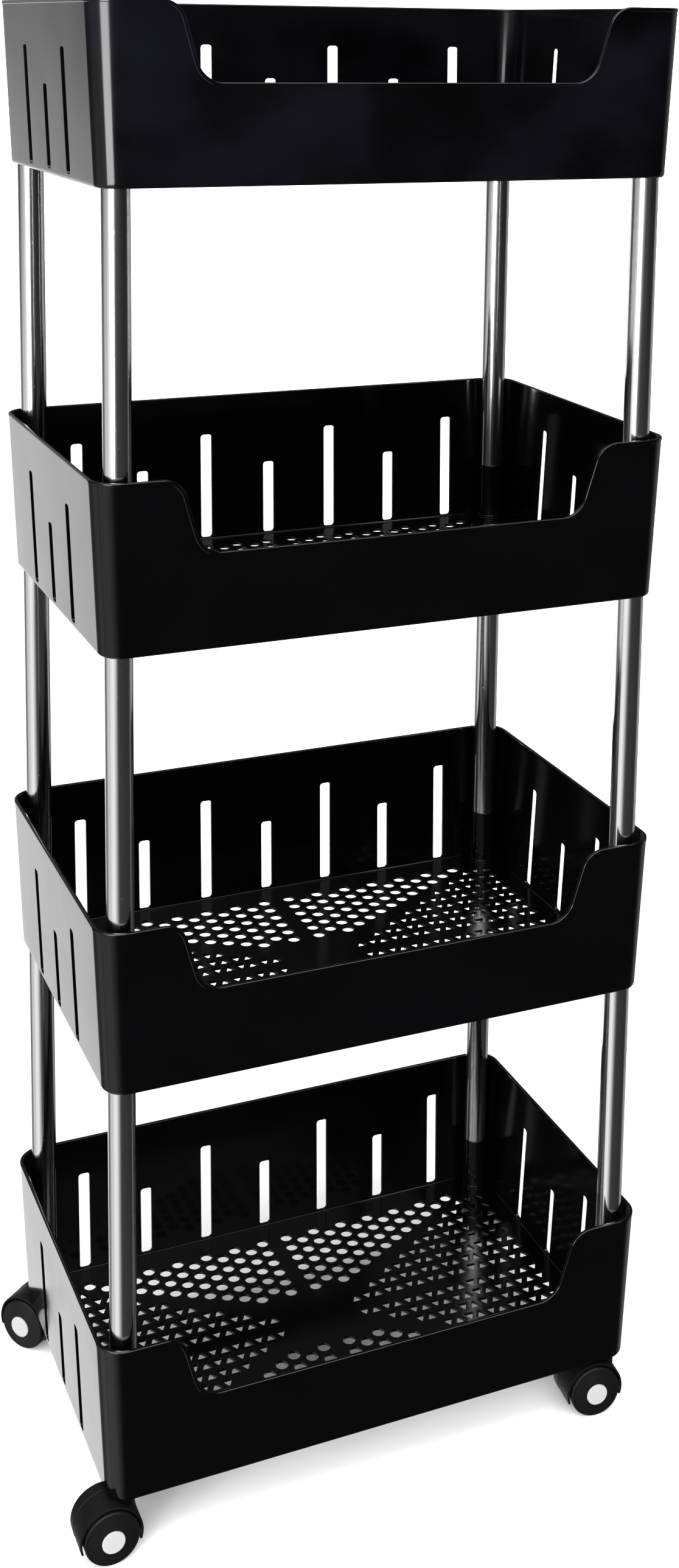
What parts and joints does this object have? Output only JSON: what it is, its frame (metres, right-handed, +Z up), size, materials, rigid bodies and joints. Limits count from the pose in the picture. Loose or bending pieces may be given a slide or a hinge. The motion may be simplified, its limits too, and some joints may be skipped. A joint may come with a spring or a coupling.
{
  "type": "rolling tray cart",
  "caption": "Slim rolling storage cart: stacked moulded plastic trays with slotted walls on steel corner tubes, standing on twin-wheel swivel casters.",
  "frame": {"origin": "on the floor, under the centre of the trays", "axes": "+Z up, front (the low edge of the trays) towards -Y, +X to the right seen from the front"},
  "size_m": [0.4333, 0.2679, 1.014],
  "materials": {
    "tray_plastic": "satin black moulded",
    "post_plastic": "satin black moulded",
    "tube_chrome": "polished tube",
    "stem_steel": "zinc plated",
    "caster_plastic": "fine grained black",
    "wheel_plastic": "fine grained black",
    "cap_plastic": "light grey"
  },
  "bodies": {
    "frame": {"tray_1": "tray_plastic", "tray_2": "tray_plastic", "tray_3": "tray_plastic", "tray_4": "tray_plastic", "post_1_front_left": "post_plastic", "tube_1_front_left": "tube_chrome", "post_2_front_left": "post_plastic", "tube_2_front_left": "tube_chrome", "post_3_front_left": "post_plastic", "tube_3_front_left": "tube_chrome", "post_4_front_left": "post_plastic", "caster_stem_front_left": "stem_steel", "post_1_front_right": "post_plastic", "tube_1_front_right": "tube_chrome", "post_2_front_right": "post_plastic", "tube_2_front_right": "tube_chrome", "post_3_front_right": "post_plastic", "tube_3_front_right": "tube_chrome", "post_4_front_right": "post_plastic", "caster_stem_front_right": "stem_steel", "post_1_back_left": "post_plastic", "tube_1_back_left": "tube_chrome", "post_2_back_left": "post_plastic", "tube_2_back_left": "tube_chrome", "post_3_back_left": "post_plastic", "tube_3_back_left": "tube_chrome", "post_4_back_left": "post_plastic", "caster_stem_back_left": "stem_steel", "post_1_back_right": "post_plastic", "tube_1_back_right": "tube_chrome", "post_2_back_right": "post_plastic", "tube_2_back_right": "tube_chrome", "post_3_back_right": "post_plastic", "tube_3_back_right": "tube_chrome", "post_4_back_right": "post_plastic", "caster_stem_back_right": "stem_steel"},
    "caster_front_left": {"caster_hood_front_left": "caster_plastic", "caster_axle_front_left": "stem_steel"},
    "wheel_front_left_1": {"caster_wheel_front_left_1": "wheel_plastic", "caster_cap_front_left_1": "cap_plastic"},
    "wheel_front_left_2": {"caster_wheel_front_left_2": "wheel_plastic", "caster_cap_front_left_2": "cap_plastic"},
    "caster_front_right": {"caster_hood_front_right": "caster_plastic", "caster_axle_front_right": "stem_steel"},
    "wheel_front_right_1": {"caster_wheel_front_right_1": "wheel_plastic", "caster_cap_front_right_1": "cap_plastic"},
    "wheel_front_right_2": {"caster_wheel_front_right_2": "wheel_plastic", "caster_cap_front_right_2": "cap_plastic"},
    "caster_back_left": {"caster_hood_back_left": "caster_plastic", "caster_axle_back_left": "stem_steel"},
    "wheel_back_left_1": {"caster_wheel_back_left_1": "wheel_plastic", "caster_cap_back_left_1": "cap_plastic"},
    "wheel_back_left_2": {"caster_wheel_back_left_2": "wheel_plastic", "caster_cap_back_left_2": "cap_plastic"},
    "caster_back_right": {"caster_hood_back_right": "caster_plastic", "caster_axle_back_right": "stem_steel"},
    "wheel_back_right_1": {"caster_wheel_back_right_1": "wheel_plastic", "caster_cap_back_right_1": "cap_plastic"},
    "wheel_back_right_2": {"caster_wheel_back_right_2": "wheel_plastic", "caster_cap_back_right_2": "cap_plastic"}
  },
  "joints": [
    {"name": "swivel_front_left", "type": "hinge", "parent": "frame", "child": "caster_front_left", "pos_m": [-0.182, -0.1075, 0], "axis": [0, 0, 1], "continuous": true},
    {"name": "roll_front_left_1", "type": "hinge", "parent": "caster_front_left", "child": "wheel_front_left_1", "pos_m": [-0.194, -0.1075, 0.01875], "axis": [0, -1, 0], "continuous": true},
    {"name": "roll_front_left_2", "type": "hinge", "parent": "caster_front_left", "child": "wheel_front_left_2", "pos_m": [-0.194, -0.1075, 0.01875], "axis": [0, -1, 0], "continuous": true},
    {"name": "swivel_front_right", "type": "hinge", "parent": "frame", "child": "caster_front_right", "pos_m": [0.182, -0.1075, 0], "axis": [0, 0, 1], "continuous": true},
    {"name": "roll_front_right_1", "type": "hinge", "parent": "caster_front_right", "child": "wheel_front_right_1", "pos_m": [0.17005, -0.10645, 0.01875], "axis": [-0.0872, -0.9962, 0], "continuous": true},
    {"name": "roll_front_right_2", "type": "hinge", "parent": "caster_front_right", "child": "wheel_front_right_2", "pos_m": [0.17005, -0.10645, 0.01875], "axis": [-0.0872, -0.9962, 0], "continuous": true},
    {"name": "swivel_back_left", "type": "hinge", "parent": "frame", "child": "caster_back_left", "pos_m": [-0.182, 0.1075, 0], "axis": [0, 0, 1], "continuous": true},
    {"name": "roll_back_left_1", "type": "hinge", "parent": "caster_back_left", "child": "wheel_back_left_1", "pos_m": [-0.18939, 0.11696, 0.01875], "axis": [-0.788, -0.6157, 0], "continuous": true},
    {"name": "roll_back_left_2", "type": "hinge", "parent": "caster_back_left", "child": "wheel_back_left_2", "pos_m": [-0.18939, 0.11696, 0.01875], "axis": [-0.788, -0.6157, 0], "continuous": true},
    {"name": "swivel_back_right", "type": "hinge", "parent": "frame", "child": "caster_back_right", "pos_m": [0.182, 0.1075, 0], "axis": [0, 0, 1], "continuous": true},
    {"name": "roll_back_right_1", "type": "hinge", "parent": "caster_back_right", "child": "wheel_back_right_1", "pos_m": [0.19359, 0.10439, 0.01875], "axis": [0.2588, 0.9659, 0], "continuous": true},
    {"name": "roll_back_right_2", "type": "hinge", "parent": "caster_back_right", "child": "wheel_back_right_2", "pos_m": [0.19359, 0.10439, 0.01875], "axis": [0.2588, 0.9659, 0], "continuous": true}
  ]
}
